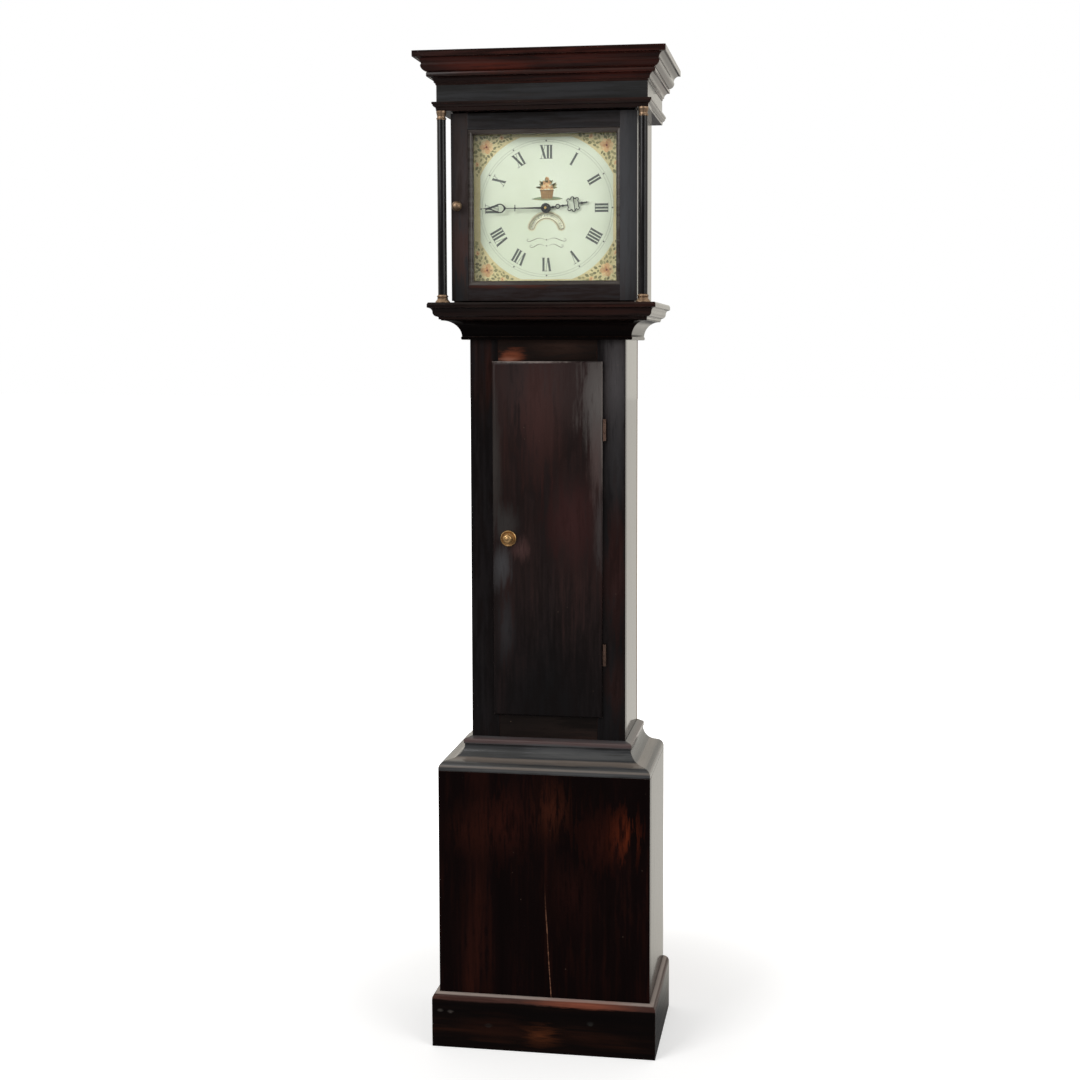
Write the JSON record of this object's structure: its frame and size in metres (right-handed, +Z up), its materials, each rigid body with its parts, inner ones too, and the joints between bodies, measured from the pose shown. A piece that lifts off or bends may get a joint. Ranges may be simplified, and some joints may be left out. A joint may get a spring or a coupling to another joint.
{
  "type": "longcase clock",
  "caption": "Tall dark wood longcase clock with a square painted dial, columned sliding hood, trunk door, pendulum and chain-driven striking movement.",
  "frame": {"origin": "on the floor, under the middle of the outline box", "axes": "+Z up, -Y to the front of the clock, +X to the right as seen from the front"},
  "size_m": [0.495, 0.286, 2],
  "materials": {
    "case_wood": "dark polished, rubbed through to red-brown in places",
    "inner_wood": "plain unpolished boards",
    "case_brass": "aged, satin",
    "gilt_brass": "worn copper-coloured gilding, satin",
    "movement_brass": "brushed",
    "steel": "plain",
    "hand_black": "black, satin",
    "dial_paint": "cream japanned paint with a soft gloss",
    "door_glass": "clear",
    "weight_iron": "rough cast"
  },
  "bodies": {
    "case": {"backboard": "inner_wood", "base_front": "case_wood", "base_sides": "case_wood", "plinth": "case_wood", "base_cove": "case_wood", "trunk_stiles": "case_wood", "trunk_rails": "case_wood", "trunk_sides": "case_wood", "throat_moulding": "case_wood", "seatboard": "inner_wood", "hinge_frame_leaves": "case_brass", "dial_plate": "dial_paint", "movement_plates": "movement_brass", "plate_pillars": "movement_brass", "back_cock": "movement_brass", "bell": "movement_brass", "bell_stand": "steel"},
    "trunk_door": {"trunk_door": "case_wood", "hinge_door_leaves": "case_brass", "knob_rose": "case_brass"},
    "latch": {"trunk_knob": "case_brass", "trunk_catch": "steel"},
    "hood": {"hood_sides": "case_wood", "hood_head_rail": "case_wood", "hood_top_board": "inner_wood", "hood_frieze": "case_wood", "hood_cornice": "case_wood", "hood_architrave": "case_wood", "hood_sill": "case_wood", "dial_mask": "case_wood", "hood_columns": "case_wood", "column_mounts": "gilt_brass"},
    "hood_door": {"hood_door_stiles": "case_wood", "hood_door_rails": "case_wood", "hood_door_bead": "case_wood", "hood_door_glass": "door_glass", "hood_door_knob": "gilt_brass", "hood_door_pins": "case_brass"},
    "minute": {"minute_hand": "hand_black", "cannon_wheel": "movement_brass"},
    "hour": {"hour_hand": "hand_black", "hour_wheel": "movement_brass"},
    "great": {"great_wheel": "movement_brass"},
    "second": {"second_wheel": "movement_brass"},
    "escape": {"escape_wheel": "movement_brass"},
    "anchor": {"anchor": "steel"},
    "pendulum": {"pendulum_rod": "steel", "pendulum_bob": "movement_brass"},
    "date": {"date_disc": "dial_paint"},
    "strike_great": {"strike_great_wheel": "movement_brass"},
    "hoop": {"hoop_wheel": "movement_brass"},
    "warning": {"warning_wheel": "movement_brass"},
    "fly": {"fly": "movement_brass"},
    "countwheel": {"countwheel": "movement_brass"},
    "hammer": {"hammer": "steel"},
    "weight": {"drive_weight": "weight_iron", "weight_chain": "steel"},
    "pulley": {"weight_pulley": "movement_brass"},
    "ring": {"ring_weight": "weight_iron", "ring_chain": "steel"}
  },
  "joints": [
    {"name": "hood_slide", "type": "slide", "parent": "case", "child": "hood", "axis": [0, -1, 0], "range_m": [0, 0.26]},
    {"name": "hood_door_swing", "type": "hinge", "parent": "hood", "child": "hood_door", "pos_m": [0.1825, -0.079, 1.7025], "axis": [0, 0, 1], "range_deg": [0, 90]},
    {"name": "trunk_door_swing", "type": "hinge", "parent": "case", "child": "trunk_door", "pos_m": [0.1165, -0.049, 1.034], "axis": [0, 0, 1], "range_deg": [0, 110]},
    {"name": "latch_turn", "type": "hinge", "parent": "trunk_door", "child": "latch", "pos_m": [-0.079, -0.049, 1.041], "axis": [0, 1, 0], "range_deg": [-90, 0]},
    {"name": "pendulum_swing", "type": "hinge", "parent": "case", "child": "pendulum", "pos_m": [0, 0.0725, 1.77606], "axis": [0, 1, 0], "range_deg": [-2.5, 2.5]},
    {"name": "anchor_rock", "type": "hinge", "parent": "case", "child": "anchor", "pos_m": [0, 0.013, 1.77606], "axis": [0, 1, 0], "range_deg": [-2.5, 2.5]},
    {"name": "minute_turn", "type": "hinge", "parent": "case", "child": "minute", "pos_m": [0, -0.057, 1.7025], "axis": [0, 1, 0], "continuous": true},
    {"name": "hour_turn", "type": "hinge", "parent": "case", "child": "hour", "pos_m": [0, -0.053, 1.7025], "axis": [0, 1, 0], "continuous": true},
    {"name": "great_turn", "type": "hinge", "parent": "case", "child": "great", "pos_m": [0.02999, 0.013, 1.67949], "axis": [0, 1, 0], "continuous": true},
    {"name": "second_turn", "type": "hinge", "parent": "case", "child": "second", "pos_m": [0.014, 0.013, 1.71506], "axis": [0, 1, 0], "continuous": true},
    {"name": "escape_turn", "type": "hinge", "parent": "case", "child": "escape", "pos_m": [0, 0.013, 1.74495], "axis": [0, 1, 0], "continuous": true},
    {"name": "date_turn", "type": "hinge", "parent": "case", "child": "date", "pos_m": [0, -0.0444, 1.6575], "axis": [0, 1, 0], "continuous": true},
    {"name": "fly_turn", "type": "hinge", "parent": "case", "child": "fly", "pos_m": [-0.05303, 0.013, 1.74113], "axis": [0, 1, 0], "continuous": true},
    {"name": "warning_turn", "type": "hinge", "parent": "case", "child": "warning", "pos_m": [-0.04426, 0.013, 1.72593], "axis": [0, 1, 0], "continuous": true},
    {"name": "hoop_turn", "type": "hinge", "parent": "case", "child": "hoop", "pos_m": [-0.05024, 0.013, 1.70362], "axis": [0, 1, 0], "continuous": true},
    {"name": "strike_great_turn", "type": "hinge", "parent": "case", "child": "strike_great", "pos_m": [-0.02999, 0.013, 1.67949], "axis": [0, 1, 0], "continuous": true},
    {"name": "countwheel_turn", "type": "hinge", "parent": "case", "child": "countwheel", "pos_m": [-0.04818, 0.051, 1.66899], "axis": [0, 1, 0], "continuous": true},
    {"name": "hammer_lift", "type": "hinge", "parent": "case", "child": "hammer", "pos_m": [-0.05, 0.013, 1.772], "axis": [0, 1, 0], "range_deg": [-12, 0], "stiffness_Nm_per_rad": 0.05, "springref_deg": 17.19},
    {"name": "weight_raise", "type": "slide", "parent": "case", "child": "weight", "axis": [0, 0, 1], "range_m": [0, 1.2], "deforming": ["weight_chain"]},
    {"name": "pulley_turn", "type": "hinge", "parent": "weight", "child": "pulley", "pos_m": [0, 0.025, 0.358], "axis": [0, 1, 0], "continuous": true},
    {"name": "ring_drop", "type": "slide", "parent": "case", "child": "ring", "axis": [0, 0, 1], "range_m": [-1.2, 0], "deforming": ["ring_chain"]}
  ],
  "couplings": [
    {"joint": "anchor_rock", "follows": "pendulum_swing", "ratio": 1},
    {"joint": "hour_turn", "follows": "minute_turn", "ratio": 0.083333},
    {"joint": "great_turn", "follows": "minute_turn", "ratio": -0.5},
    {"joint": "second_turn", "follows": "minute_turn", "ratio": 6},
    {"joint": "escape_turn", "follows": "minute_turn", "ratio": -60},
    {"joint": "warning_turn", "follows": "fly_turn", "ratio": -0.125},
    {"joint": "hoop_turn", "follows": "fly_turn", "ratio": 0.0125},
    {"joint": "strike_great_turn", "follows": "fly_turn", "ratio": -0.00096154},
    {"joint": "countwheel_turn", "follows": "fly_turn", "ratio": 0.00016026},
    {"joint": "pulley_turn", "follows": "weight_raise", "rad_per_m": 58.862},
    {"joint": "ring_drop", "follows": "weight_raise", "ratio": -1}
  ]
}
